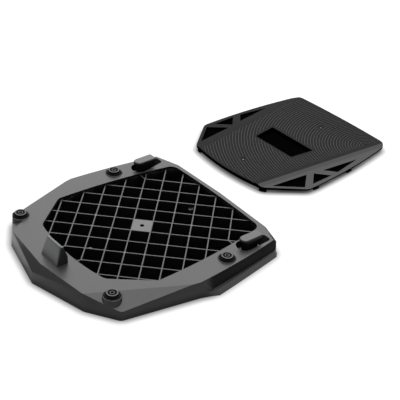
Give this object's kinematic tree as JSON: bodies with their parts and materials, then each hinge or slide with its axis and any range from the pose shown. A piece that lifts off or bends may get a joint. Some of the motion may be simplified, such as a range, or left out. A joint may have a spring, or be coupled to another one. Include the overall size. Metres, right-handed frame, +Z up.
{
  "type": "top case mounting plate",
  "caption": "Moulded mounting plate for a motorcycle top case: ribbed grille, case hooks in pockets, rear tongue and rubber buffers, with its clip-on grille cover lying beside it.",
  "frame": {"origin": "on the underside plane of the plate, straight below the middle hole of its grille", "axes": "+Z up through the deck, +Y to the front edge with the case hooks, +X to the plate's right"},
  "size_m": [0.3687, 0.6779, 0.055],
  "materials": {
    "plate_plastic": "black moulded plastic with a fine satin grain",
    "hook_plastic": "smooth satin black plastic",
    "cover_plastic": "black moulded plastic with a fine ribbed panel",
    "buffer_rubber": "matt black rubber",
    "screw_steel": "zinc-plated steel"
  },
  "bodies": {
    "root": {"base_plate": "plate_plastic", "cover": "cover_plastic", "hook_left": "hook_plastic", "hook_right": "hook_plastic", "hook_screw_left_front": "screw_steel", "hook_screw_left_rear": "screw_steel", "hook_screw_right_front": "screw_steel", "hook_screw_right_rear": "screw_steel", "pad_front_left": "buffer_rubber", "pad_front_right": "buffer_rubber", "pad_rear_left": "buffer_rubber", "pad_rear_right": "buffer_rubber", "rear_tongue": "hook_plastic", "tongue_screw_left": "screw_steel", "tongue_screw_right": "screw_steel"}
  },
  "joints": []
}
